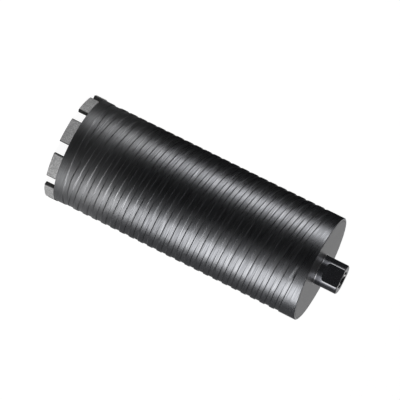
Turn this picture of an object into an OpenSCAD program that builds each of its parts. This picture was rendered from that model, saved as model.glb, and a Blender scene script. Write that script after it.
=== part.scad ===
// Diamond core bit for drilling a 102 mm hole in masonry.
// It stands on the cutting faces of its segments at z = 0, with its axis on Z.
// The threaded hub points up, and the two wrench flats face -Y and +Y.

/* [Crown] */
// Outer diameter over the diamond segments, which is the hole's diameter
crown_d = 102; // [80:0.5:150]
// Number of diamond segments round the rim
segment_count = 9; // [6:1:10]
// Length of each segment along its outer arc
segment_l = 24; // [16:0.5:25]
// Height of each segment, from its cutting face to the tube's rim
segment_h = 9.2; // [6:0.1:14]
// Thickness of each segment across the tube's wall
segment_w = 4; // [3.6:0.1:5]
// How far each segment stands out past the tube's outer face
segment_proud = 0.75; // [0.3:0.05:1]
// Chamfer along both cutting edges of each segment
segment_chamfer = 0.4; // [0.1:0.1:1]
// Direction of the first segment's middle, in degrees from the X axis
segment_turn = 17.4; // [0:0.1:40]

/* [Barrel] */
// Length of the tube, from the segments to its back end
barrel_l = 244; // [120:1:400]
// Wall thickness of the tube beside its grooves
barrel_wall = 2.5; // [2:0.1:3]
// Chamfer round the outside of the tube's back end
barrel_chamfer = 0.5; // [0.1:0.1:1]

/* [Grooves] */
// Number of grooves that wind side by side up the tube
groove_starts = 4; // [1:1:6]
// Distance up the tube from one groove's middle to the next
groove_pitch = 9.5; // [7:0.1:14]
// Width of each groove at the tube's surface
groove_w = 5; // [3:0.1:6]
// Depth of the grooves
groove_depth = 0.65; // [0.3:0.05:1]
// Slope of the grooves' sides, in degrees from straight out
groove_slope = 45; // [10:1:50]
// Height of the plain band between the tube's rim and its ring groove
rim_band = 9.1; // [4:0.1:20]
// Height of the plain band between the grooves and the tube's back end
back_band = 8.5; // [4:0.1:20]
// Direction in which the first groove leaves the ring groove, in degrees from the X axis
groove_turn = 36.7; // [0:0.1:90]
// Angle round the tube over which each groove fades out at its back end
fade_turn = 15; // [5:1:30]

/* [Back plate] */
// Thickness of the plate that closes the tube
plate_t = 8; // [5:0.5:12]
// Gap all round the plate and the hub's spigot, which the weld bridges
weld_gap = 0.1; // [0:0.05:0.3]

/* [Hub] */
// Diameter of the hub
hub_d = 28; // [25:0.5:36]
// Length of the hub, from the back plate to its end
hub_l = 22; // [16:0.5:40]
// Width across the two wrench flats
flats_w = 22; // [19:0.5:24]
// Round collar between the back plate and the wrench flats
collar_l = 5.6; // [3:0.1:8]
// Radius that the cutter leaves where each flat runs out
flat_runout_r = 3; // [1:0.5:5]
// Chamfer round the outside of the hub's end
hub_chamfer = 0.8; // [0.2:0.1:1.4]
// Leg of the weld fillet round the foot of the hub
weld_leg = 1.1; // [0.4:0.1:2]
// Diameter of the hub's spigot, which sits in the back plate
spigot_d = 20; // [18:0.5:24]

/* [Thread] */
// Diameter inside the crests of the 5/8-11 female thread
thread_bore_d = 13.6; // [10:0.1:14]
// Diameter of the countersink at the thread's mouth
thread_mouth_d = 16.6; // [15:0.1:18]

/* [Hidden] */

// Reach of a cutter past the face that it cuts
over = 1;
// How far a groove's cutter has risen clear of the tube where the groove ends
fade_clear = 0.25;
// Smoothness of what is drawn round
$fn = 120;
// Sections of a groove in each full turn
groove_steps = 48;

crown_r = crown_d / 2;
barrel_r = crown_r - segment_proud;
barrel_bore_r = barrel_r - barrel_wall;
barrel_bottom = segment_h;
barrel_top = barrel_bottom + barrel_l;
segment_angle = segment_l / crown_r * 180 / PI;

ring_z = barrel_bottom + rim_band + groove_w / 2;
fade_z = barrel_top - back_band - groove_w / 2;
groove_turns = (fade_z - ring_z) / (groove_pitch * groove_starts);
groove_sections = ceil(groove_turns * groove_steps);

plate_bottom = barrel_top - plate_t;
hub_top = barrel_top + hub_l;

// Half the width of a groove at a height above the tube's surface, which is negative in the groove
function groove_half(height) = groove_w / 2 + height * tan(groove_slope);

// The four corners of one groove's section at a share of its way up the tube
function groove_section(share) =
    let (turn = groove_turn - 360 * groove_turns * share,
         z = ring_z + (fade_z - ring_z) * share,
         turn_left = 360 * groove_turns * (1 - share),
         rise = max(0, 1 - turn_left / fade_turn) * (groove_depth + fade_clear),
         floor_r = (barrel_r - groove_depth) / cos(180 / groove_steps) + rise,
         mouth_r = barrel_r + over + rise,
         floor_half = groove_half(-groove_depth),
         mouth_half = groove_half(over))
    [[floor_r * cos(turn), floor_r * sin(turn), z - floor_half],
     [mouth_r * cos(turn), mouth_r * sin(turn), z - mouth_half],
     [mouth_r * cos(turn), mouth_r * sin(turn), z + mouth_half],
     [floor_r * cos(turn), floor_r * sin(turn), z + floor_half]];

// Cutter for one helical groove, which rises as it turns clockwise seen from above
module spiral_cutter() {
    sections = [for (i = [0:groove_sections]) groove_section(i / groove_sections)];
    corners = len(sections[0]);
    last = corners * groove_sections;
    points = [for (section = sections) each section];
    sides = [for (i = [0:groove_sections - 1], k = [0:corners - 1])
        let (a = corners * i + k, b = corners * i + (k + 1) % corners)
        each [[a, a + corners, b], [b, a + corners, b + corners]]];
    start_face = [for (k = [0:corners - 1]) k];
    end_face = [for (k = [corners - 1:-1:0]) last + k];
    polyhedron(points, concat([start_face], sides, [end_face]));
}

// Cutter for the ring groove that the helical grooves run out of
module ring_cutter() {
    rotate_extrude()
        polygon([[barrel_r - groove_depth, ring_z - groove_half(-groove_depth)],
                 [barrel_r + over, ring_z - groove_half(over)],
                 [barrel_r + over, ring_z + groove_half(over)],
                 [barrel_r - groove_depth, ring_z + groove_half(-groove_depth)]]);
}

// Steel tube, open at the crown, with its grooves on the outside
module barrel() {
    color("#4c4e53")
    difference() {
        rotate_extrude()
            polygon([[barrel_bore_r, barrel_bottom],
                     [barrel_r, barrel_bottom],
                     [barrel_r, barrel_top - barrel_chamfer],
                     [barrel_r - barrel_chamfer, barrel_top],
                     [barrel_bore_r, barrel_top]]);
        ring_cutter();
        for (start = [0:groove_starts - 1])
            rotate([0, 0, 360 * start / groove_starts]) spiral_cutter();
    }
}

// Disc welded into the tube's back end, flush with it
module back_plate() {
    color("#77797d")
    difference() {
        translate([0, 0, plate_bottom])
            cylinder(h = plate_t, r = barrel_bore_r - weld_gap);
        translate([0, 0, plate_bottom - over])
            cylinder(h = plate_t + 2 * over, d = spigot_d + 2 * weld_gap);
    }
}

// Turned outline of the hub and its spigot, with the weld fillet as a hollow arc
module hub_outline() {
    fillet = [for (turn = [0:10:90])
        [hub_d / 2 + weld_leg * (1 - sin(turn)), barrel_top + weld_leg * (1 - cos(turn))]];
    polygon(concat(
        [[0, plate_bottom], [spigot_d / 2, plate_bottom], [spigot_d / 2, barrel_top]],
        fillet,
        [[hub_d / 2, hub_top - hub_chamfer], [hub_d / 2 - hub_chamfer, hub_top], [0, hub_top]]));
}

// Cutter for the wrench flat on the +Y side, with a round run-out at its foot
module flat_cutter() {
    foot_z = barrel_top + collar_l + flat_runout_r;
    translate([-hub_d, flats_w / 2, foot_z])
        cube([2 * hub_d, hub_d, hub_l]);
    translate([-hub_d, flats_w / 2 + flat_runout_r, foot_z])
        rotate([0, 90, 0]) cylinder(h = 2 * hub_d, r = flat_runout_r);
}

// Threaded hub, drilled through for water and welded into the back plate
module hub() {
    countersink_h = (thread_mouth_d - thread_bore_d) / 2;
    color("#2b2c30")
    difference() {
        rotate_extrude() hub_outline();
        translate([0, 0, plate_bottom - over])
            cylinder(h = plate_t + hub_l + 2 * over, d = thread_bore_d);
        translate([0, 0, hub_top - countersink_h])
            cylinder(h = countersink_h + over, d1 = thread_bore_d, d2 = thread_mouth_d + 2 * over);
        for (side = [0, 180])
            rotate([0, 0, side]) flat_cutter();
    }
}

// One diamond segment, counted round from the first one
module segment(number) {
    inner_r = crown_r - segment_w;
    turn = segment_turn + 360 * (number - 1) / segment_count;
    color("#8b8c8f")
    rotate([0, 0, turn - segment_angle / 2])
        rotate_extrude(angle = segment_angle)
            polygon([[inner_r + segment_chamfer, 0],
                     [crown_r - segment_chamfer, 0],
                     [crown_r, segment_chamfer],
                     [crown_r, segment_h],
                     [inner_r, segment_h],
                     [inner_r, segment_chamfer]]);
}

barrel();
back_plate();
hub();
for (number = [1:segment_count])
    segment(number);
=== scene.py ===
# %% [markdown]
# # A diamond core bit
#
# A core bit drills a round hole in masonry and leaves the core standing inside the tube.
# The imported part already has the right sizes, so it is loaded first as a fixed frame.
# What follows builds finer surfaces and finishes round it, and never moves or resizes it.

# %% Load the frame
import math

import bmesh
import bpy
import numpy as np
from mathutils import Matrix, Vector


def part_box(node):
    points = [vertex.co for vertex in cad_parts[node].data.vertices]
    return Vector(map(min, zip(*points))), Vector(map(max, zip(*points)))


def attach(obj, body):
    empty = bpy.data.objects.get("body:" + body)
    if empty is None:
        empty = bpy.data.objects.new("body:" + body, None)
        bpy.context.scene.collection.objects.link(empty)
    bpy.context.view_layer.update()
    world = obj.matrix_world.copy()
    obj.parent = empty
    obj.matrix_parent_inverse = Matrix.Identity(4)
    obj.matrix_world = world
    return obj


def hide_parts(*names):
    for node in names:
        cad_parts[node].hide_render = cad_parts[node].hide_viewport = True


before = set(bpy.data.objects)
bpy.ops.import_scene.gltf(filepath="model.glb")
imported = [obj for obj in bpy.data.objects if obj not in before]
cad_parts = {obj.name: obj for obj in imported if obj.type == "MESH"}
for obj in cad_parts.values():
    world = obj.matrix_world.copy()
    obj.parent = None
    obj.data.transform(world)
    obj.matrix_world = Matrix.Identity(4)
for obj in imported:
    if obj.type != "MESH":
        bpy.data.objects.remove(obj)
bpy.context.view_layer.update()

MM = 0.001

# %% [markdown]
# ## The camera
#
# The bit stands upright in its own frame, but the photograph shows it lying across the picture.
# So the camera is rolled about its line of sight, and looks a little down on the hub's end.
# A long lens from far away keeps the rims nearly parallel, as they are in the photograph.
# A camera can be placed by eye, but these numbers were solved for, which puts the rims, the
# sides and the segments within a pixel of where the photograph has them.

# %% Camera
CAMERA_UP_DEG = 11.289
CAMERA_ROLL_DEG = 116.366
CAMERA_DISTANCE = 2.6693
CAMERA_LENS_MM = 268.08
CAMERA_REACH = 50.0
SENSOR_MM = 36.0
# How far the middle of the tube lies left of and below the picture's centre, at its own depth
MIDDLE_LEFT = 4.26 * MM
MIDDLE_BELOW = 6.33 * MM
TUBE_MIDDLE = Vector((0.0, 0.0, 126.6 * MM))


def add_camera():
    """Step back from the tube's middle at the camera's height, then roll about the line of sight."""
    up_angle = math.radians(CAMERA_UP_DEG)
    backward = Vector((0.0, -math.cos(up_angle), math.sin(up_angle)))
    roll = Matrix.Rotation(math.radians(CAMERA_ROLL_DEG), 3, backward)
    right = roll @ Vector((1.0, 0.0, 0.0))
    up = backward.cross(right)
    aim = TUBE_MIDDLE + right * MIDDLE_LEFT + up * MIDDLE_BELOW
    data = bpy.data.cameras.new("camera")
    data.lens = CAMERA_LENS_MM
    data.sensor_width = SENSOR_MM
    data.clip_end = CAMERA_REACH
    camera = bpy.data.objects.new("camera", data)
    bpy.context.scene.collection.objects.link(camera)
    turn = Matrix((right, up, backward)).transposed()
    camera.matrix_world = Matrix.Translation(aim + backward * CAMERA_DISTANCE) @ turn.to_4x4()
    bpy.context.scene.camera = camera
    return camera


camera = add_camera()
print("camera at, m:", [round(v, 3) for v in camera.location])

# %% [markdown]
# ## Small tools for shader trees
#
# A finish is a tree of nodes. It could be wired by hand in the editor, but then nobody could
# read it here. Two helpers keep the trees short: one places a node and fills its sockets, and
# one does arithmetic. Effects that several finishes share become node groups, which put out
# colours, masks and heights only, so that each material keeps its own shader.


# %% Shader helpers
def place(tree, kind, inputs=None, **options):
    """Add a node. Options are its settings; inputs are values or sockets, by name or number."""
    made = tree.nodes.new(kind)
    for option, value in options.items():
        setattr(made, option, value)
    for key, value in (inputs or {}).items():
        if isinstance(value, bpy.types.NodeSocket):
            tree.links.new(value, made.inputs[key])
        else:
            made.inputs[key].default_value = value
    return made


def maths(tree, operation, *values, clamp=False):
    """One Math node; returns its result."""
    sockets = dict(enumerate(values))
    return place(tree, "ShaderNodeMath", sockets, operation=operation, use_clamp=clamp).outputs[0]


def ramp(tree, value, start, end, low=0.0, high=1.0):
    """A smooth step from low at start to high at end."""
    sockets = {"Value": value, "From Min": start, "From Max": end, "To Min": low, "To Max": high}
    return place(tree, "ShaderNodeMapRange", sockets, interpolation_type="SMOOTHSTEP").outputs[0]


def blend(tree, share, first, second):
    """A colour between first and second; plain colours are given as three numbers."""
    mix = place(tree, "ShaderNodeMix", data_type="RGBA")
    for socket, value in ((mix.inputs[0], share), (mix.inputs[6], first), (mix.inputs[7], second)):
        if isinstance(value, bpy.types.NodeSocket):
            tree.links.new(value, socket)
        else:
            socket.default_value = (*value, 1.0) if isinstance(value, tuple) else value
    return mix.outputs[2]


print("shader helpers ready")


# %% Group helpers
def new_group(name, inputs, outputs):
    """An empty node group: inputs are (name, type, default), outputs are (name, type)."""
    tree = bpy.data.node_groups.new(name, "ShaderNodeTree")
    for label, kind, value in inputs:
        socket = tree.interface.new_socket(label, in_out="INPUT", socket_type="NodeSocket" + kind)
        if value is not None:
            socket.default_value = value
    for label, kind in outputs:
        tree.interface.new_socket(label, in_out="OUTPUT", socket_type="NodeSocket" + kind)
    return tree, tree.nodes.new("NodeGroupInput"), tree.nodes.new("NodeGroupOutput")


def use_group(tree, group, **sockets):
    """Place a group in a tree, with values or sockets for its inputs."""
    return place(tree, "ShaderNodeGroup", sockets, node_tree=group)


def new_material(name):
    """An empty material; returns it with its tree."""
    material = bpy.data.materials.new(name)
    material.use_nodes = True
    material.node_tree.nodes.clear()
    return material, material.node_tree


print("group helpers ready")

# %% [markdown]
# ## The lamps
#
# Polished steel shows its room more than its own colour. In the photograph a tall softbox
# stands on either side of a dark room. A softbox is brightest in its middle, so a wide weak
# lamp lies round each narrow bright one. Two high lamps catch the bevelled sides of the
# grooves, and one behind lights the back plate. Glowing boards would do the same, but area
# lamps give less noise.

# %% Softboxes
# Direction from the camera's side in degrees, distance in metres, width in degrees,
# bottom and top in metres, radiance
SOFTBOXES = {
    "left_wide": (-67.0, 0.95, 46.0, -0.16, 0.90, 0.35),
    "left_hot": (-68.0, 0.90, 23.0, -0.12, 0.85, 1.75),
    "right_edge": (58.0, 1.00, 84.0, -0.16, 0.80, 0.13),
    "right_wide": (69.0, 0.95, 70.0, -0.16, 1.30, 0.33),
    "right_hot": (71.0, 0.90, 40.0, -0.12, 1.25, 1.97),
    "left_high": (-99.0, 0.50, 24.0, 0.55, 0.86, 0.55),
    "right_high": (104.0, 0.92, 34.0, 0.85, 1.75, 0.70),
    "back": (179.0, 0.95, 34.0, -0.16, 0.87, 0.49),
}


def add_softbox(name, direction_deg, distance, spread_deg, bottom, top, radiance):
    """A tall lamp that faces the bit's axis.

    Its width is what its spread covers at its distance, and its power is radiance times pi
    times its area.
    """
    direction = math.radians(direction_deg)
    width = 2 * distance * math.tan(math.radians(spread_deg / 2))
    data = bpy.data.lights.new(name, "AREA")
    data.shape = "RECTANGLE"
    data.size = width
    data.size_y = top - bottom
    data.energy = radiance * math.pi * width * (top - bottom)
    lamp = bpy.data.objects.new(name, data)
    away = Vector((math.sin(direction), -math.cos(direction), 0.0))
    lamp.location = away * distance + Vector((0.0, 0.0, (bottom + top) / 2))
    lamp.rotation_euler = away.to_track_quat("Z", "Y").to_euler()
    lamp.visible_camera = False
    bpy.context.scene.collection.objects.link(lamp)
    return lamp


for name, values in SOFTBOXES.items():
    add_softbox(name, *values)
print("softboxes:", ", ".join(SOFTBOXES))

# %% [markdown]
# ## The surround
#
# The world plays three parts. To the camera it is the plain white ground. To matte surfaces it
# is an even grey, which shows the segments' own colour. To glossy rays it is the dark room:
# almost black, with soft patches where the photograph's steel shows a little light. Steel that
# is seen from above would mirror only blackness, so two patches are there for it alone, high
# behind the bit and low in front. A photographed room could hold all this, but patches worked
# out from the direction need no picture file.

# %% Surround
TO_CAMERA = (1.0, 1.0, 1.0)
TO_MATTE = (0.35, 0.35, 0.355)
ROOM_DARK = (0.006, 0.006, 0.0065)
SIDE_DIRECTION = (0.71, 0.70, -0.05)
# A patch's colour, and the measures of the direction by which it fades in, from nothing to full
ROOM_PATCHES = {
    "above": ((0.009, 0.009, 0.0095), [("height", 0.0, 0.25)]),
    "below": ((0.10, 0.10, 0.102), [("height", -0.86, -0.97)]),
    "side": ((0.10, 0.10, 0.104), [("toward_side", 0.75, 0.97), ("height", 0.22, 0.08)]),
    "high_behind": ((0.24, 0.24, 0.245), [("backward", 0.20, 0.45), ("height", 0.70, 0.84)]),
    "low_front": ((0.28, 0.28, 0.285), [("backward", -0.25, -0.48), ("height", -0.66, -0.82)]),
}


def add_surround():
    """White to the camera, grey to matte surfaces, and the dark room with its patches to glossy rays.

    A patch covers the room by the product of its smooth steps.
    """
    world = bpy.data.worlds.new("studio")
    world.use_nodes = True
    tree = world.node_tree
    tree.nodes.clear()
    rays = place(tree, "ShaderNodeLightPath")
    direction = place(tree, "ShaderNodeTexCoord").outputs["Generated"]
    _, backward, height = place(tree, "ShaderNodeSeparateXYZ", {0: direction}).outputs
    side = {0: direction, 1: SIDE_DIRECTION}
    toward_side = place(tree, "ShaderNodeVectorMath", side, operation="DOT_PRODUCT").outputs["Value"]
    measures = {"backward": backward, "height": height, "toward_side": toward_side}
    room = ROOM_DARK
    for colour, steps in ROOM_PATCHES.values():
        share = 1.0
        for measure, start, full in steps:
            share = maths(tree, "MULTIPLY", share, ramp(tree, measures[measure], start, full))
        room = blend(tree, share, room, colour)
    seen = blend(tree, rays.outputs["Is Glossy Ray"], TO_MATTE, room)
    seen = blend(tree, rays.outputs["Is Camera Ray"], seen, TO_CAMERA)
    background = place(tree, "ShaderNodeBackground", {"Color": seen})
    place(tree, "ShaderNodeOutputWorld", {"Surface": background.outputs[0]})
    bpy.context.scene.world = world
    return world


add_surround()
bpy.context.scene.view_settings.view_transform = "Standard"
print("surround ready, view transform:", bpy.context.scene.view_settings.view_transform)

# %% [markdown]
# ## The floor
#
# The ground in the photograph is plain white, with hardly a shadow. White paint would come out
# grey under these lamps, and more light would spoil the steel. So the floor gives most of its
# light itself, to the camera only, and its real shading adds the soft shadow. In the steel the
# ground shows only as a glow close to the bit: for glossy rays the floor is clear but for that.

# %% Floor
FLOOR_HALF = 12.0
FLOOR_OWN_LIGHT = 0.96
FLOOR_SHADED = (0.12, 0.12, 0.12)
FLOOR_BOUNCE = (0.8, 0.8, 0.8)
# The glow in the steel: its strength, where its middle is, and where it starts and stops to fade
FLOOR_MIRRORED = 0.24
MIRRORED_MIDDLE = (0.04, 0.14, 0.0)
MIRRORED_REACH = (0.06, 0.22)


def floor_finish():
    """To the camera, own light plus real shading; to glossy rays, clear with a glow near the bit."""
    material, tree = new_material("white_floor")
    rays = place(tree, "ShaderNodeLightPath")
    shade = blend(tree, rays.outputs["Is Camera Ray"], FLOOR_BOUNCE, FLOOR_SHADED)
    matte = place(tree, "ShaderNodeBsdfDiffuse", {"Color": shade})
    own = maths(tree, "MULTIPLY", rays.outputs["Is Camera Ray"], FLOOR_OWN_LIGHT)
    light = place(tree, "ShaderNodeEmission", {"Strength": own})
    seen = place(tree, "ShaderNodeAddShader", {0: matte.outputs[0], 1: light.outputs[0]})
    spot = place(tree, "ShaderNodeTexCoord").outputs["Object"]
    to_middle = {0: spot, 1: MIRRORED_MIDDLE}
    away = place(tree, "ShaderNodeVectorMath", to_middle, operation="DISTANCE").outputs["Value"]
    near = ramp(tree, away, *MIRRORED_REACH, FLOOR_MIRRORED, 0.0)
    clear = place(tree, "ShaderNodeBsdfTransparent")
    glow = place(tree, "ShaderNodeEmission", {"Strength": near})
    mirrored = place(tree, "ShaderNodeAddShader", {0: clear.outputs[0], 1: glow.outputs[0]})
    choice = {0: rays.outputs["Is Glossy Ray"], 1: seen.outputs[0], 2: mirrored.outputs[0]}
    both = place(tree, "ShaderNodeMixShader", choice)
    place(tree, "ShaderNodeOutputMaterial", {"Surface": both.outputs[0]})
    return material


def add_floor():
    """A large square at the height of the cutting faces."""
    data = bpy.data.meshes.new("floor")
    corners = FLOOR_HALF * np.array([(-1, -1), (1, -1), (1, 1), (-1, 1)])
    data.from_pydata(np.column_stack([corners, np.zeros(4)]).tolist(), [], [(0, 1, 2, 3)])
    data.materials.append(floor_finish())
    floor = bpy.data.objects.new("floor", data)
    bpy.context.scene.collection.objects.link(floor)
    return floor


add_floor()
print("floor half width, m:", FLOOR_HALF)

# %% [markdown]
# ## Sheets of points
#
# Every turned piece here is a sheet wrapped round the axis: a radius for each angle and height.
# Cutting grooves with Boolean modifiers would leave ragged edges where thin cuts cross, and a
# sheet has none. Plain stretches use level rings. Helical grooves and threads would look jagged
# on level rings, so their rows climb with the helix, and are held between two heights. Sheets
# that share their angles meet point to point, and are sewn by merging those points.


# %% Sheet helpers
def even_turn(columns):
    """Angles in equal steps round the axis."""
    return np.arange(columns) * 2 * np.pi / columns


def grid_quads(rows, columns):
    """Corners of the faces between neighbouring rows and columns of a grid numbered row by row."""
    row, column = np.meshgrid(np.arange(rows - 1), np.arange(columns - 1), indexing="ij")
    first = (row * columns + column).ravel()
    return np.stack([first, first + 1, first + columns + 1, first + columns], axis=1)


def wrap(angle, radius, height):
    """Points at radius times cosine and sine of the angle, and at the height."""
    radius, height = np.broadcast_to(radius, angle.shape), np.broadcast_to(height, angle.shape)
    return np.stack([radius * np.cos(angle), radius * np.sin(angle), height], axis=-1)


def ring_sheet(angles, rings):
    """Level rings, each a (radius, height) pair of numbers or arrays over the angles."""
    closed = np.append(angles, angles[0] + 2 * np.pi)
    rows = []
    for radius, height in rings:
        radius = np.broadcast_to(np.asarray(radius, float), angles.shape)
        rows.append(wrap(closed, np.append(radius, radius[0]), height))
    return np.concatenate(rows), grid_quads(len(rows), len(closed))


def screw_sheet(angles, radius_at, first_row, steps, pitch, lead, low, high):
    """Rows that climb by lead in a turn.

    A row's height is its start plus lead times the turn, held between low and high. The starts
    repeat the steps at every pitch, and rows that lie wholly outside are left out but for one.
    """
    closed = np.append(angles, angles[0] + 2 * np.pi)
    climb = lead * closed / (2 * np.pi)
    before = int(np.floor((low - abs(lead) - first_row) / pitch)) - 1
    after = int(np.ceil((high + abs(lead) - first_row) / pitch)) + 1
    starts = first_row + pitch * np.arange(before, after)[:, None] + np.asarray(steps)[None, :]
    height = np.clip(starts.ravel()[:, None] + climb[None, :], low, high)
    used = np.flatnonzero((height.max(axis=1) > low) & (height.min(axis=1) < high))
    height = height[used[0] - 1:used[-1] + 2]
    angle = np.broadcast_to(closed, height.shape)
    return wrap(angle, radius_at(angle, height), height).reshape(-1, 3), grid_quads(*height.shape)


print("sheet helpers ready")


# %% Soft edges
def soft_ramp(x, soft):
    """Zero below and x above, joined by a parabola between -soft and soft."""
    return np.where(x < -soft, 0.0, np.where(x > soft, x, (x + soft) ** 2 / (4 * soft)))


def soft_smaller(a, b, soft):
    """The smaller of two surfaces, with the edge where they meet rounded over the soft distance."""
    return b - soft_ramp(b - a, soft)


print("a soft corner is cut by this share of its softness:", float(soft_ramp(0.0, 1.0)))


# %% Make a piece of sheets
# Points closer than this are one point
SEW = 0.002 * MM


def add_piece(name, data, replaces=()):
    """Put a mesh in the scene as a piece of the object, in the place that its mesh already has."""
    piece = bpy.data.objects.new(name, data)
    bpy.context.scene.collection.objects.link(piece)
    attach(piece, "root")
    if replaces:
        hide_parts(*replaces)
    return piece


def sew_sheets(name, sheets):
    """Join the sheets in one mesh, merge the points that meet, and turn all faces outwards."""
    counts = np.cumsum([0] + [len(points) for points, quads in sheets])
    points = np.concatenate([points for points, quads in sheets])
    quads = np.concatenate([quads + count for (_, quads), count in zip(sheets, counts)])
    data = bpy.data.meshes.new(name)
    data.from_pydata(points.tolist(), [], quads.tolist())
    work = bmesh.new()
    work.from_mesh(data)
    bmesh.ops.remove_doubles(work, verts=work.verts, dist=SEW)
    bmesh.ops.dissolve_degenerate(work, dist=SEW / 10, edges=work.edges)
    bmesh.ops.recalc_face_normals(work, faces=work.faces)
    open_edges = sum(not edge.is_manifold for edge in work.edges)
    work.to_mesh(data)
    work.free()
    data.shade_smooth()
    triangles = sum(len(face.vertices) - 2 for face in data.polygons)
    print(name, "has", triangles, "triangles and", open_edges, "open edges")
    return data


print("points are sewn that are closer than, mm:", SEW / MM)


# %% [markdown]
# ## The tube
#
# The real tube is turned: a ring groove near the crown, and four grooves that wind out of it
# side by side and fade out near the back. They carry the slurry out of the hole. Their sides
# are bevelled, and these bevels are the thin dark and light lines of the photograph. The CAD
# tube could be kept and smoothed, but it is cut in flats that steel this glossy would show, so
# a finer sheet with slightly rounded edges replaces it.

# %% Tube sizes
tube_low, tube_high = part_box("barrel")
TUBE_R = (tube_high.y - tube_low.y) / 2
TUBE_BOTTOM, TUBE_TOP = tube_low.z, tube_high.z
TUBE_WALL = 2.5 * MM
TUBE_BORE_R = TUBE_R - TUBE_WALL
TUBE_CHAMFER = 0.5 * MM
TUBE_RIM_EDGE = 0.12 * MM
# From an edge to the ring that keeps the face beside it flat
TUBE_RIM_HOLD = 0.4 * MM
TUBE_COLUMNS = 180
print("tube radius, mm:", round(TUBE_R / MM, 3))
print("tube from, to, mm:", round(TUBE_BOTTOM / MM, 2), round(TUBE_TOP / MM, 2))

# %% Groove sizes
GROOVE_STARTS = 4
GROOVE_PITCH = 9.5 * MM
GROOVE_W = 5.0 * MM
GROOVE_DEPTH = 0.65 * MM
GROOVE_LEAD = GROOVE_STARTS * GROOVE_PITCH
GROOVE_TURN = math.radians(36.7)
# Middles of the ring groove and of a groove's end
RING_Z = TUBE_BOTTOM + 9.1 * MM + GROOVE_W / 2
FADE_Z = TUBE_TOP - 8.5 * MM - GROOVE_W / 2
FADE_TURN = math.radians(15.0)
# A groove has risen by its depth and a little more where it ends
FADE_RISE = GROOVE_DEPTH + 0.25 * MM
# How fast a helical groove rises clear below the ring groove's middle
STUB_SLOPE = 1.5
# Rounding of the edges, and of the corner where a helical groove leaves the ring groove
EDGE_SOFT = 0.1 * MM
WEDGE_SOFT = 0.25 * MM
# Rows of points beside an edge, and the plain bands below and above the grooves' rows
EDGE_STEPS = np.array([-0.30, -0.14, 0.0, 0.14]) * MM
BAND_BELOW = 0.8 * MM
BAND_ABOVE = 0.5 * MM
print("grooves:", GROOVE_STARTS, "lead, mm:", round(GROOVE_LEAD / MM, 2))


# %% Grooved wall
def groove_depth_at(angle, height):
    """Depth of the deeper of the ring groove and the nearest helical groove.

    How far a point is inside a groove's edge is also its depth, up to the floor, because the
    sides slope at 45 degrees. A helical groove rises clear of the tube at its end.
    """
    line = RING_Z + GROOVE_LEAD * (GROOVE_TURN - angle) / (2 * np.pi)
    aside = (height - line + GROOVE_PITCH / 2) % GROOVE_PITCH - GROOVE_PITCH / 2
    centre = height - aside
    turn_left = 2 * np.pi * (FADE_Z - centre) / GROOVE_LEAD
    rise = np.clip(1 - turn_left / FADE_TURN, 0, 1) * FADE_RISE
    stub = STUB_SLOPE * np.maximum(RING_Z - centre, 0)
    into_ring = GROOVE_W / 2 - np.abs(height - RING_Z)
    into_helix = GROOVE_W / 2 - np.abs(aside) - rise - stub
    into_helix = np.where(centre <= FADE_Z, into_helix, -GROOVE_W)
    into = into_ring + soft_ramp(into_helix - into_ring, WEDGE_SOFT)
    return soft_ramp(into, EDGE_SOFT) - soft_ramp(into - GROOVE_DEPTH, EDGE_SOFT)


def tube_wall(angle, height):
    """The tube's outer radius less the depth of its grooves."""
    return TUBE_R - groove_depth_at(angle, height)


ring_depth = float(groove_depth_at(0.0, RING_Z))
print("depth in the middle of the ring groove, mm:", round(ring_depth / MM, 3))


# %% Tube
def crown_rings():
    """From the bore over the rim to the outside: radius and height."""
    inner, outer, edge, hold = TUBE_BORE_R, TUBE_R, TUBE_RIM_EDGE, TUBE_RIM_HOLD
    rings = [(inner, hold), (inner, edge), (inner + edge / 3, edge / 3), (inner + edge, 0),
             (inner + hold, 0), (outer - hold, 0), (outer - edge, 0),
             (outer - edge / 3, edge / 3), (outer, edge), (outer, hold)]
    return [(radius, TUBE_BOTTOM + height) for radius, height in rings]


def back_rings():
    """From the outside over the chamfer to the bore: radius, and depth in mm below the back end."""
    inner, outer, bevel = TUBE_BORE_R, TUBE_R, TUBE_R - TUBE_CHAMFER
    rings = [(outer, 0.9), (outer, 0.6), (outer - 0.05 * MM, 0.45), (bevel + 0.05 * MM, 0.05),
             (bevel - 0.1 * MM, 0), (bevel - 0.4 * MM, 0), (inner + 0.3 * MM, 0),
             (inner + 0.1 * MM, 0), (inner, 0.1), (inner, 0.3)]
    return [(radius, TUBE_TOP - depth * MM) for radius, depth in rings]


def tube_sheets():
    """Closed skin of the tube: rim and ring groove, then the climbing rows, then back end and bore."""
    angles = even_turn(TUBE_COLUMNS)
    half, floor_half = GROOVE_W / 2, GROOVE_W / 2 - GROOVE_DEPTH
    side = np.concatenate([floor_half + EDGE_STEPS, half - EDGE_STEPS[::-1]])
    steps = np.concatenate([-side[::-1], [0.0], side, [GROOVE_PITCH / 2]])
    ring_heights = RING_Z + np.concatenate([[-half - BAND_BELOW], steps[:-1]])
    ring = [(tube_wall(angles, np.full_like(angles, height)), height) for height in ring_heights]
    low, high = ring_heights[-1], FADE_Z + half + BAND_ABOVE
    start = RING_Z + GROOVE_LEAD * GROOVE_TURN / (2 * np.pi)
    helix = screw_sheet(angles, tube_wall, start, steps, GROOVE_PITCH, -GROOVE_LEAD, low, high)
    crown = crown_rings()
    back = [(TUBE_R, high)] + back_rings() + crown[:1]
    return [ring_sheet(angles, crown + ring), helix, ring_sheet(angles, back)]


tube = add_piece("tube", sew_sheets("tube", tube_sheets()), ["barrel"])

# %% [markdown]
# ## The back plate
#
# A turned disc closes the tube. It is welded in flush, and the weld is turned over with it,
# so all that shows is a fine seam. A cylinder with a Bevel modifier would come close, but its
# hole and rim are easier to place as one profile spun round the axis. The face has many rings,
# which keep its shading flat up to the edges.

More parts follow.
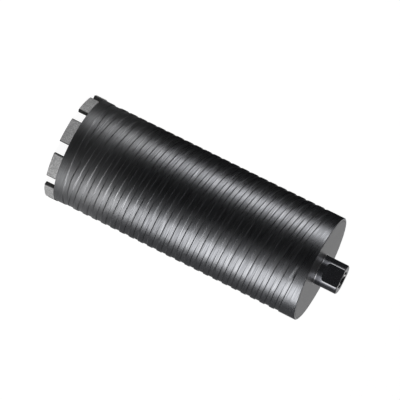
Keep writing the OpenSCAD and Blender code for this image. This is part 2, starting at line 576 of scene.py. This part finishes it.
# %% Back plate
plate_low, plate_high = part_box("back_plate")
PLATE_R = (plate_high.y - plate_low.y) / 2
PLATE_BOTTOM, PLATE_TOP = plate_low.z, plate_high.z
PLATE_HOLE_R = 10.1 * MM
PLATE_COLUMNS = 180
PLATE_RINGS = 24
PLATE_EDGE = 0.15 * MM


def plate_sheets():
    """The disc's profile spun round: top face, softened rim, underside and hole."""
    edge, third = PLATE_EDGE, PLATE_EDGE / 3
    face = np.linspace(PLATE_HOLE_R + edge, PLATE_R - edge, PLATE_RINGS)
    top = [(radius, PLATE_TOP) for radius in face]
    bottom = [(radius, PLATE_BOTTOM) for radius in face[::-1]]
    rim = [(PLATE_R - third, PLATE_TOP - third), (PLATE_R, PLATE_TOP - edge),
           (PLATE_R, PLATE_BOTTOM + edge), (PLATE_R - third, PLATE_BOTTOM + third)]
    hole = [(PLATE_HOLE_R + third, PLATE_BOTTOM + third), (PLATE_HOLE_R, PLATE_BOTTOM + edge),
            (PLATE_HOLE_R, PLATE_TOP - edge), (PLATE_HOLE_R + third, PLATE_TOP - third)]
    return [ring_sheet(even_turn(PLATE_COLUMNS), top + rim + bottom + hole + top[:1])]


plate_mesh = sew_sheets("back_plate_disc", plate_sheets())
plate = add_piece("back_plate_disc", plate_mesh, ["back_plate"])

# %% [markdown]
# ## The hub
#
# The hub is turned from bar, drilled and threaded for the machine's spindle, and milled with
# two flats for a wrench. Milling could be a Boolean cut. But round the axis the hub's radius is
# simply the smaller of the turned radius and the distance to the flat divided by the sine of
# the angle, so one height field holds both, and rounds the edge between them.
# Inside, the thread is a screw sheet, as the tube's grooves are, but right-handed and fine.

# %% Hub sizes
hub_low, hub_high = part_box("hub")
HUB_TOP, HUB_BOTTOM = hub_high.z, hub_low.z
HUB_R = 14.0 * MM
SPIGOT_R = 10.0 * MM
SPIGOT_EDGE = 0.3 * MM
FLAT_Y = 11.0 * MM
FLAT_RUNOUT_R = 3.0 * MM
FLAT_FOOT_Z = TUBE_TOP + 5.6 * MM + FLAT_RUNOUT_R
HUB_CHAMFER = 0.8 * MM
FILLET_LEG = 1.1 * MM
HUB_EDGE = 0.16 * MM
HUB_COLUMNS = 240
# The run-out's arc stops just short of level, and the angle's sine just above nothing
RUNOUT_SHARE = 0.9999
LEAST_SINE = 0.2
# Rows of points over the weld fillet, the flat's run-out and the flat
FILLET_ROWS = 9
RUNOUT_ROWS = 25
FLAT_ROWS = 10
print("hub from, to, mm:", round(HUB_BOTTOM / MM, 2), round(HUB_TOP / MM, 2))

# %% Thread sizes
THREAD_CREST_R = 6.8 * MM
THREAD_ROOT_R = 7.94 * MM
THREAD_MOUTH_R = 8.3 * MM
THREAD_MOUTH_SOFT = 0.7 * MM
THREAD_PITCH = 25.4 / 11 * MM
THREAD_END_Z = TUBE_TOP + 1.5 * MM
# Half the flat crest between two turns, the flank's angle and the rounding of crest and root
THREAD_CREST_HALF = 0.34 * MM
THREAD_FLANK = math.radians(30)
THREAD_SOFT = 0.06 * MM
THREAD_STEPS = np.array([-0.93, -0.68, -0.5, -0.34, -0.28, 0.0, 0.28, 0.34, 0.5, 0.68, 0.93]) * MM
# The thread's sheet ends this far inside the mouth's edge
MOUTH_EDGE = 0.06 * MM
print("thread pitch, mm:", round(THREAD_PITCH / MM, 3))


# %% Hub surfaces
def flat_distance(height):
    """The flat's distance from the axis: far away below, then the cutter's arc, then level."""
    below = np.clip(FLAT_FOOT_Z - height, 0, FLAT_RUNOUT_R * RUNOUT_SHARE)
    arc = FLAT_Y + FLAT_RUNOUT_R - np.sqrt(FLAT_RUNOUT_R ** 2 - below ** 2)
    return np.where(height < FLAT_FOOT_Z - FLAT_RUNOUT_R, 2 * HUB_R, arc)


def hub_wall(angle, radius, height):
    """The smaller of the turned radius and the flat's distance over the angle's sine, joined softly."""
    to_flat = flat_distance(height) / np.maximum(np.abs(np.sin(angle)), LEAST_SINE)
    return soft_smaller(to_flat, radius, HUB_EDGE)


def thread_wall(angle, height):
    """The bore's radius where a V thread and the mouth's cone are cut, whichever is deeper.

    The thread's depth is the distance from the crest over the tangent of the flank, up to the
    root, and it fades out over one turn at the lower end.
    """
    along = (height - THREAD_PITCH * angle / (2 * np.pi)) / THREAD_PITCH % 1
    from_crest = np.abs(along - 0.5) * THREAD_PITCH
    flank = (from_crest - THREAD_CREST_HALF) / math.tan(THREAD_FLANK)
    full = THREAD_ROOT_R - THREAD_CREST_R
    depth = soft_ramp(flank, THREAD_SOFT) - soft_ramp(flank - full, THREAD_SOFT)
    depth = depth * np.clip((height - THREAD_END_Z) / THREAD_PITCH, 0, 1)
    cone = soft_ramp(THREAD_MOUTH_R - (HUB_TOP - height) - THREAD_CREST_R, THREAD_MOUTH_SOFT)
    return THREAD_CREST_R + np.maximum(depth, cone)


def hub_angles():
    """Columns round the hub, four of them moved onto the edges where the flats cut the round."""
    angles = even_turn(HUB_COLUMNS)
    edge = math.asin(FLAT_Y / HUB_R)
    for corner in (edge, math.pi - edge, math.pi + edge, 2 * math.pi - edge):
        angles[np.argmin(np.abs(angles - corner))] = corner
    return angles


flat_at_top = float(flat_distance(HUB_TOP))
print("the flat's distance from the axis at the top, mm:", round(flat_at_top / MM, 3))


# %% Hub
def hub_outside():
    """Radius and height up the turned outside: fillet, round collar, run-out, flat and chamfer."""
    turn = np.radians(np.linspace(0, 90, FILLET_ROWS))
    fillet = [(HUB_R + FILLET_LEG * (1 - math.sin(t)), TUBE_TOP + FILLET_LEG * (1 - math.cos(t)))
              for t in turn]
    foot = FLAT_FOOT_Z - FLAT_RUNOUT_R
    climb = FLAT_FOOT_Z - FLAT_RUNOUT_R * np.cos(np.radians(np.linspace(0, 90, RUNOUT_ROWS)))
    heights = [fillet[-1][1] + 0.8 * MM, foot - 1.5 * MM, foot - 0.05 * MM, *climb[1:],
               FLAT_FOOT_Z + 0.3 * MM,
               *np.linspace(FLAT_FOOT_Z + 1.5 * MM, HUB_TOP - HUB_CHAMFER - 0.5 * MM, FLAT_ROWS)]
    top, bevel = HUB_TOP, HUB_CHAMFER
    end = [(HUB_R, top - bevel - 0.12 * MM), (HUB_R - 0.03 * MM, top - bevel + 0.02 * MM),
           (HUB_R - bevel / 2, top - bevel / 2), (HUB_R - bevel + 0.04 * MM, top - 0.02 * MM),
           (HUB_R - bevel - 0.1 * MM, top)]
    return fillet + [(HUB_R, height) for height in heights] + end


def hub_sheets():
    """Closed skin of the hub: spigot, outside and end face, then thread, then water hole."""
    angles = hub_angles()
    rings = [(THREAD_CREST_R, HUB_BOTTOM), (SPIGOT_R - SPIGOT_EDGE, HUB_BOTTOM),
             (SPIGOT_R, HUB_BOTTOM + SPIGOT_EDGE), (SPIGOT_R, TUBE_TOP)]
    for radius, height in hub_outside():
        rings.append((hub_wall(angles, radius, np.full_like(angles, height)), height))
    mouth_z = HUB_TOP - MOUTH_EDGE
    rings += [((HUB_R + FLAT_Y) / 2 - 3.2 * MM, HUB_TOP), (THREAD_MOUTH_R + 2 * MOUTH_EDGE, HUB_TOP),
              (THREAD_MOUTH_R - MOUTH_EDGE, mouth_z)]
    steps = np.concatenate([THREAD_STEPS + THREAD_PITCH / 2, [THREAD_PITCH]])
    thread = screw_sheet(angles, thread_wall, 0.0, steps, THREAD_PITCH, THREAD_PITCH,
                         THREAD_END_Z, mouth_z)
    hole = [(THREAD_CREST_R, THREAD_END_Z), (THREAD_CREST_R, HUB_BOTTOM)]
    return [ring_sheet(angles, rings), thread, ring_sheet(angles, hole)]


hub = add_piece("threaded_hub", sew_sheets("threaded_hub", hub_sheets()), ["hub"])

# %% [markdown]
# ## The segments
#
# Each segment is metal powder and diamond, pressed and sintered, then laser-welded on the rim.
# It is a block bent to the rim's arc. A cube with Bevel and a bend would do, but its corners
# would drift off the arc. Here one outline, a rectangle with broken corners, is carried along
# the arc and drawn in a little at both ends, which rounds those edges too.

# %% Segment sizes
CROWN_R = 51.0 * MM
SEGMENT_COUNT = 9
SEGMENT_L = 24.0 * MM
SEGMENT_W = 4.0 * MM
SEGMENT_CHAMFER = 0.4 * MM
SEGMENT_CORNER = 0.08 * MM
SEGMENT_EDGE = 0.22 * MM
SEGMENT_TURN = math.radians(17.4)
SEGMENT_STEP = 2 * math.pi / SEGMENT_COUNT
SEGMENT_BODY_START = 2.5 * SEGMENT_EDGE
SEGMENT_BODY_ROWS = 13
# Where the rows stand on the quarter circle that rounds an end, and how far they close over it
END_TURN = np.radians([0, 22, 45, 67, 90])
END_CLOSING = [0.0, 0.5, 0.9]
print("each segment spans, degrees:", round(math.degrees(SEGMENT_L / CROWN_R), 2))


# %% Segments
def segment_outline():
    """Radius and height round the block's section, with points near its broken or rounded corners."""
    c, e = SEGMENT_CHAMFER, SEGMENT_CORNER
    low, high, inner, outer = 0.0, TUBE_BOTTOM, CROWN_R - SEGMENT_W, CROWN_R
    return np.array([
        (inner + c + 3 * e, low), (inner + c, low), (inner, low + c), (inner, low + c + 3 * e),
        (inner, high - 3 * e), (inner, high - e), (inner + e, high), (inner + 3 * e, high),
        (outer - 3 * e, high), (outer - e, high), (outer, high - e), (outer, high - 3 * e),
        (outer, low + c + 3 * e), (outer, low + c), (outer - c, low), (outer - c - 3 * e, low)])


def segment_scale(half_size):
    """Shares of the outline's size, row by row: closed at both ends, a quarter circle, then full."""
    inset = SEGMENT_EDGE * (1 - np.sin(END_TURN))
    shrink = np.concatenate([END_CLOSING, 1 - inset / half_size])
    return np.concatenate([shrink, np.ones(SEGMENT_BODY_ROWS), shrink[::-1]])


def segment_sheet(number):
    """The outline carried along the arc, shrunk about its middle near both ends."""
    outline = segment_outline()
    middle = (outline.min(axis=0) + outline.max(axis=0)) / 2
    half_size = (outline.max(axis=0) - outline.min(axis=0)) / 2
    from_end = np.concatenate([np.zeros(len(END_CLOSING)), SEGMENT_EDGE * (1 - np.cos(END_TURN))])
    body = np.linspace(SEGMENT_BODY_START, SEGMENT_L - SEGMENT_BODY_START, SEGMENT_BODY_ROWS)
    along = np.concatenate([from_end, body, SEGMENT_L - from_end[::-1]])
    turn = SEGMENT_TURN + SEGMENT_STEP * number + (along - SEGMENT_L / 2) / CROWN_R
    closed = np.vstack([outline, outline[:1]])
    radius = middle[0] + (closed[None, :, 0] - middle[0]) * segment_scale(half_size[0])[:, None]
    height = middle[1] + (closed[None, :, 1] - middle[1]) * segment_scale(half_size[1])[:, None]
    angle = np.broadcast_to(turn[:, None], radius.shape)
    return wrap(angle, radius, height).reshape(-1, 3), grid_quads(*radius.shape)


segments = []
for number in range(SEGMENT_COUNT):
    name = f"diamond_segment_{number + 1}"
    mesh = sew_sheets(name, [segment_sheet(number)])
    segments.append(add_piece(name, mesh, [f"segment_{number + 1}"]))
print("segments:", len(segments))

# %% [markdown]
# ## Shared effects
#
# Three effects are used by more than one finish, so each is a node group: the place of a point
# round the axis, the streaks that a turning tool leaves, and the slow cloudiness of a blackened
# or oiled surface. Streaks could be a bump alone, but the real ones also differ in tone and
# gloss, so the group puts out a value that each finish uses as it needs. The streaks follow
# whatever line the finish gives them: the screw of the grooves, the height on the hub, or the
# radius on the plate.

# %% Round the axis
# How far the streaks' pattern moves on in a metre along the axis: little, so that they run round
ALONG_AXIS = 36.0

round_group, entry, leave = new_group(
    "round_the_axis", [("Vector", "Vector", None), ("Lead", "Float", GROOVE_LEAD)],
    [("Radius", "Float"), ("Angle", "Float"), ("Height", "Float"), ("Screw", "Vector")])
x, y, z = place(round_group, "ShaderNodeSeparateXYZ", {0: entry.outputs["Vector"]}).outputs
level = place(round_group, "ShaderNodeCombineXYZ", {0: x, 1: y}).outputs[0]
radius = place(round_group, "ShaderNodeVectorMath", {0: level}, operation="LENGTH").outputs["Value"]
angle = maths(round_group, "ARCTAN2", y, x)
climb = maths(round_group, "MULTIPLY", z, 2 * math.pi)
climb = maths(round_group, "DIVIDE", climb, entry.outputs["Lead"])
phase = maths(round_group, "ADD", angle, climb)
screw = place(round_group, "ShaderNodeCombineXYZ", {
    0: maths(round_group, "COSINE", phase),
    1: maths(round_group, "SINE", phase),
    2: maths(round_group, "MULTIPLY", z, ALONG_AXIS)}).outputs[0]
for label, socket in {"Radius": radius, "Angle": angle, "Height": z, "Screw": screw}.items():
    round_group.links.new(socket, leave.inputs[label])
print("group ready:", round_group.name)

# %% Turning streaks
# The fine streaks are this many times finer than the coarse ones, and both are mixed
FINER = 2.6
COARSE_SHARE = 0.4
FINE_SHARE = 0.6

streak_group, entry, leave = new_group(
    "turning_streaks",
    [("Vector", "Vector", None), ("Fineness", "Float", 12.0), ("Contrast", "Float", 1.0)],
    [("Streak", "Float"), ("Fine", "Float")])
coarse = place(streak_group, "ShaderNodeTexNoise", {
    "Vector": entry.outputs["Vector"], "Scale": entry.outputs["Fineness"],
    "Detail": 3.0, "Roughness": 0.6}).outputs[0]
fine = place(streak_group, "ShaderNodeTexNoise", {
    "Vector": entry.outputs["Vector"],
    "Scale": maths(streak_group, "MULTIPLY", entry.outputs["Fineness"], FINER),
    "Detail": 2.0, "Roughness": 0.5}).outputs[0]
mixed = maths(streak_group, "ADD", maths(streak_group, "MULTIPLY", coarse, COARSE_SHARE),
              maths(streak_group, "MULTIPLY", fine, FINE_SHARE))
centred = maths(streak_group, "SUBTRACT", mixed, 0.5)
centred = maths(streak_group, "MULTIPLY", centred, entry.outputs["Contrast"])
streak_group.links.new(maths(streak_group, "ADD", centred, 0.5, clamp=True), leave.inputs["Streak"])
streak_group.links.new(fine, leave.inputs["Fine"])
print("group ready:", streak_group.name)

# %% Cloudy tone
cloud_group, entry, leave = new_group(
    "cloudy_tone",
    [("Vector", "Vector", None), ("Size", "Float", 30.0), ("Amount", "Float", 0.1)],
    [("Tone", "Float")])
cloud = place(cloud_group, "ShaderNodeTexNoise", {
    "Vector": entry.outputs["Vector"], "Scale": entry.outputs["Size"],
    "Detail": 4.0, "Roughness": 0.55}).outputs[0]
swing = maths(cloud_group, "SUBTRACT", cloud, 0.5)
swing = maths(cloud_group, "MULTIPLY", swing, entry.outputs["Amount"])
cloud_group.links.new(maths(cloud_group, "ADD", swing, 1.0), leave.inputs["Tone"])
print("group ready:", cloud_group.name)


# %% Finish helpers
def scaled(tree, colour, factor):
    """A colour times a number."""
    return place(tree, "ShaderNodeVectorMath", {0: colour, 3: factor}, operation="SCALE").outputs[0]


def streaky(tree, cloud, marks, weak, strong):
    """The cloudy tone times a tone that runs from weak to strong over the streaks."""
    return maths(tree, "MULTIPLY", cloud.outputs["Tone"],
                 ramp(tree, marks.outputs["Streak"], 0.0, 1.0, weak, strong))


def finish(material, tree, colour, roughness, metallic, height, bump, depth):
    """Give the material its Principled shader, with the height as a bump of the given depth."""
    relief = place(tree, "ShaderNodeBump", {"Strength": bump, "Distance": depth, "Height": height})
    shader = place(tree, "ShaderNodeBsdfPrincipled", {
        "Base Color": colour, "Roughness": roughness, "Metallic": metallic,
        "Normal": relief.outputs[0]})
    place(tree, "ShaderNodeOutputMaterial", {"Surface": shader.outputs[0]})
    print("finish ready:", material.name)
    return material


def dress(piece, material):
    """Give the piece one material on all its faces."""
    piece.data.materials.clear()
    piece.data.materials.append(material)


print("finish helpers ready")


# %% [markdown]
# ## The tube's finish
#
# The tube is dark turned steel with a thin oiled film. Its streaks wind with the grooves, the
# groove floors are freshly cut and a little brighter than the skin between them, and toward
# the crown the welding heat and blasting have left the skin lighter and duller. Inside it is
# raw tube. These zones could be painted in a picture, but the radius and height of a point
# already tell them apart.

# %% Tube steel
TUBE_SKIN = (0.262, 0.267, 0.282)
TUBE_GROOVE_FLOOR = (0.300, 0.305, 0.320)
TUBE_CROWN_END = (0.358, 0.362, 0.373)
TUBE_INSIDE = (0.20, 0.195, 0.19)
# Heights over which the skin turns lighter, duller, and at the rim a little darker again
LIGHTER_OVER = (110 * MM, 45 * MM)
DULLER_OVER = (95 * MM, 15 * MM)
RIM_OVER = (42 * MM, 12 * MM)
RIM_TONE = 0.88
TUBE_ROUGH, TUBE_ROUGH_DULL, TUBE_ROUGH_INSIDE = 0.31, 0.40, 0.5


def tube_finish():
    """Turned steel: winding streaks in tone, gloss and relief, bright groove floors, dull crown end."""
    material, tree = new_material("turned_tube_steel")
    spot = place(tree, "ShaderNodeTexCoord").outputs["Object"]
    where = use_group(tree, round_group, Vector=spot, Lead=GROOVE_LEAD)
    radius, height = where.outputs["Radius"], where.outputs["Height"]
    marks = use_group(tree, streak_group, Vector=where.outputs["Screw"], Fineness=6.0, Contrast=2.8)
    cloud = use_group(tree, cloud_group, Vector=spot, Size=38.0, Amount=0.13)
    in_groove = ramp(tree, radius, TUBE_R - 0.25 * MM, TUBE_R - 0.5 * MM)
    inside = ramp(tree, radius, TUBE_BORE_R + 0.5 * MM, TUBE_BORE_R + 0.2 * MM)
    colour = blend(tree, in_groove, TUBE_SKIN, TUBE_GROOVE_FLOOR)
    colour = blend(tree, ramp(tree, height, *LIGHTER_OVER), colour, TUBE_CROWN_END)
    tone = streaky(tree, cloud, marks, 0.82, 1.18)
    tone = maths(tree, "MULTIPLY", tone, ramp(tree, height, *RIM_OVER, 1.0, RIM_TONE))
    colour = blend(tree, inside, scaled(tree, colour, tone), TUBE_INSIDE)
    dull = ramp(tree, ramp(tree, height, *DULLER_OVER), 0.0, 1.0, TUBE_ROUGH, TUBE_ROUGH_DULL)
    rough = maths(tree, "ADD", dull, ramp(tree, marks.outputs["Streak"], 0.0, 1.0, 0.08, -0.08))
    rough = maths(tree, "MAXIMUM", rough, ramp(tree, inside, 0.0, 1.0, 0.0, TUBE_ROUGH_INSIDE))
    metal = ramp(tree, inside, 0.0, 1.0, 1.0, 0.3)
    return finish(material, tree, colour, rough, metal, marks.outputs["Fine"], 0.25, 0.02 * MM)


dress(tube, tube_finish())

# %% [markdown]
# ## The plate's finish
#
# The plate is faced on a lathe, so its streaks are rings of even radius, which an anisotropic
# shader could only hint at. Its underside, inside the tube, was never faced and is duller.

# %% Plate steel
PLATE_STEEL = (0.285, 0.285, 0.29)


def plate_finish():
    """Faced steel: streaks that depend on the radius alone, under a slow cloudiness."""
    material, tree = new_material("faced_plate_steel")
    spot = place(tree, "ShaderNodeTexCoord").outputs["Object"]
    where = use_group(tree, round_group, Vector=spot)
    line = place(tree, "ShaderNodeCombineXYZ", {0: where.outputs["Radius"]}).outputs[0]
    marks = use_group(tree, streak_group, Vector=line, Fineness=900.0, Contrast=1.5)
    cloud = use_group(tree, cloud_group, Vector=spot, Size=45.0, Amount=0.2)
    colour = scaled(tree, PLATE_STEEL, streaky(tree, cloud, marks, 0.9, 1.1))
    under = ramp(tree, where.outputs["Height"], PLATE_BOTTOM + 0.5 * MM, PLATE_BOTTOM + 0.1 * MM)
    rough = ramp(tree, marks.outputs["Streak"], 0.0, 1.0, 0.40, 0.30)
    rough = maths(tree, "ADD", rough, ramp(tree, under, 0.0, 1.0, 0.0, 0.25))
    metal = ramp(tree, under, 0.0, 1.0, 1.0, 0.3)
    return finish(material, tree, colour, rough, metal, marks.outputs["Fine"], 0.2, 0.01 * MM)


dress(plate, plate_finish())

# %% [markdown]
# ## The hub's finish
#
# The hub is blackened and glossy, with fine lathe rings. The blackening is thin on the sharp
# edges of the flats, and their lighter colour there is partly a painted highlight; the weld at
# its foot is brighter, partly as a painted glint; and the thread is bare steel. One material with
# masks from radius and height keeps the seams between these soft, where four materials on chosen
# faces would end in hard lines.

# %% Hub steel
HUB_BLACK = (0.150, 0.153, 0.168)
# Thin blackening on the flats' edges, made lighter still as a painted highlight
HUB_EDGE_WEAR_AND_HIGHLIGHT = (0.50, 0.50, 0.51)
# The weld's bare metal, made brighter to paint in its glints
HUB_WELD_AND_GLINT = (0.38, 0.38, 0.39)
HUB_BARE = (0.58, 0.575, 0.57)
# Where the flats' edges are across the hub
FLAT_EDGE_X = math.sqrt(HUB_R ** 2 - FLAT_Y ** 2)


def flat_edge_mask(tree, spot, height):
    """One along the flats' upright edges: near their place across the hub, and above the flats' foot."""
    across = maths(tree, "ABSOLUTE", place(tree, "ShaderNodeSeparateXYZ", {0: spot}).outputs[0])
    aside = maths(tree, "ABSOLUTE", maths(tree, "SUBTRACT", across, FLAT_EDGE_X + 0.2 * MM))
    return maths(tree, "MULTIPLY", ramp(tree, aside, 0.9 * MM, 0.3 * MM),
                 ramp(tree, height, FLAT_FOOT_Z - 2 * MM, FLAT_FOOT_Z))


def hub_finish():
    """Blackened steel with lathe rings, flat edges lighter from thin blackening and painted highlight, a
    weld brightened partly as painted glint, and a bare thread.
    """
    material, tree = new_material("blackened_hub_steel")
    spot = place(tree, "ShaderNodeTexCoord").outputs["Object"]
    where = use_group(tree, round_group, Vector=spot)
    radius, height = where.outputs["Radius"], where.outputs["Height"]
    line = place(tree, "ShaderNodeCombineXYZ", {0: height}).outputs[0]
    marks = use_group(tree, streak_group, Vector=line, Fineness=1100.0, Contrast=1.5)
    cloud = use_group(tree, cloud_group, Vector=spot, Size=120.0, Amount=0.3)
    # Painted highlight along the flats' edges, on top of their thin blackening
    worn_edge_highlight = maths(tree, "MULTIPLY", flat_edge_mask(tree, spot, height), 0.5)
    # The weld fillet, brightened partly as a painted glint
    weld_and_glint = ramp(tree, radius, HUB_R + 0.02 * MM, HUB_R + 0.12 * MM)
    bare = ramp(tree, radius, THREAD_MOUTH_R + 0.15 * MM, THREAD_MOUTH_R - 0.1 * MM)
    colour = scaled(tree, HUB_BLACK, streaky(tree, cloud, marks, 0.9, 1.1))
    for mask, other in ((worn_edge_highlight, HUB_EDGE_WEAR_AND_HIGHLIGHT), (weld_and_glint, HUB_WELD_AND_GLINT), (bare, HUB_BARE)):
        colour = blend(tree, mask, colour, other)
    rough = ramp(tree, marks.outputs["Streak"], 0.0, 1.0, 0.19, 0.13)
    metal = ramp(tree, bare, 0.0, 1.0, 0.88, 1.0)
    return finish(material, tree, colour, rough, metal, marks.outputs["Fine"], 0.15, 0.01 * MM)


dress(hub, hub_finish())

# %% [markdown]
# ## The segments' finish
#
# The segments are matte: a grey sintered matrix with darker pores and light grit. Real grit
# could be scattered as thousands of small meshes, but at this size each would be a speck, so
# cells of a Voronoi pattern stand for it. The ends that face the gaps are darkened as painted
# shade, and the angle round the axis tells them apart.

# %% Segment matrix
MATRIX_GREY = (0.50, 0.50, 0.50)
GRIT_LIGHT = (0.72, 0.73, 0.70)
# Painted shade for the segment ends that face the gaps
END_PAINTED_SHADE = (0.07, 0.07, 0.07)
GRIT_SCALE = 1500.0
POWDER_SCALE = 3200.0
MOTTLE_SCALE = 900.0


def grit_mask(tree, spot):
    """Spots at the middles of one cell in five of a Voronoi pattern."""
    grains = place(tree, "ShaderNodeTexVoronoi", {"Vector": spot, "Scale": GRIT_SCALE})
    chance = place(tree, "ShaderNodeSeparateXYZ", {0: grains.outputs["Color"]}).outputs[0]
    return maths(tree, "MULTIPLY", ramp(tree, grains.outputs["Distance"], 0.28, 0.12),
                 ramp(tree, chance, 0.80, 0.84))


def segment_end_mask(tree, angle):
    """One near both ends of a segment, by the distance along the arc from its middle."""
    start = SEGMENT_TURN - SEGMENT_STEP / 2 - 2 * SEGMENT_STEP * SEGMENT_COUNT
    within = maths(tree, "MODULO", maths(tree, "SUBTRACT", angle, start), SEGMENT_STEP)
    from_middle = maths(tree, "ABSOLUTE", maths(tree, "SUBTRACT", within, SEGMENT_STEP / 2))
    along = maths(tree, "MULTIPLY", from_middle, CROWN_R)
    return ramp(tree, along, SEGMENT_L / 2 - 1.2 * MM, SEGMENT_L / 2 - 0.5 * MM)


def segment_finish():
    """Sintered powder with pores and light grit, on a slow cloudiness, all with relief."""
    material, tree = new_material("sintered_matrix")
    spot = place(tree, "ShaderNodeTexCoord").outputs["Object"]
    where = use_group(tree, round_group, Vector=spot)
    cloud = use_group(tree, cloud_group, Vector=spot, Size=260.0, Amount=0.28)
    powder = place(tree, "ShaderNodeTexNoise", {"Vector": spot, "Scale": POWDER_SCALE, "Detail": 2.0})
    mottle = place(tree, "ShaderNodeTexNoise", {"Vector": spot, "Scale": MOTTLE_SCALE, "Detail": 1.0})
    grit = grit_mask(tree, spot)
    near_end = segment_end_mask(tree, where.outputs["Angle"])
    grainy = ramp(tree, powder.outputs[0], 0.3, 0.7, 0.86, 1.14)
    spotty = ramp(tree, mottle.outputs[0], 0.3, 0.7, 0.78, 1.22)
    tone = maths(tree, "MULTIPLY", maths(tree, "MULTIPLY", cloud.outputs["Tone"], grainy), spotty)
    colour = scaled(tree, MATRIX_GREY, tone)
    colour = blend(tree, maths(tree, "MULTIPLY", grit, 0.6), colour, GRIT_LIGHT)
    # Painted shade: the ends facing the gaps are darkened nearly to black
    colour = blend(tree, maths(tree, "MULTIPLY", near_end, 0.9), colour, END_PAINTED_SHADE)
    relief = maths(tree, "ADD", powder.outputs[0], grit)
    return finish(material, tree, colour, 0.62, 0.35, relief, 0.5, 0.06 * MM)


matrix = segment_finish()
for segment in segments:
    dress(segment, matrix)
print("segments dressed:", len(segments))
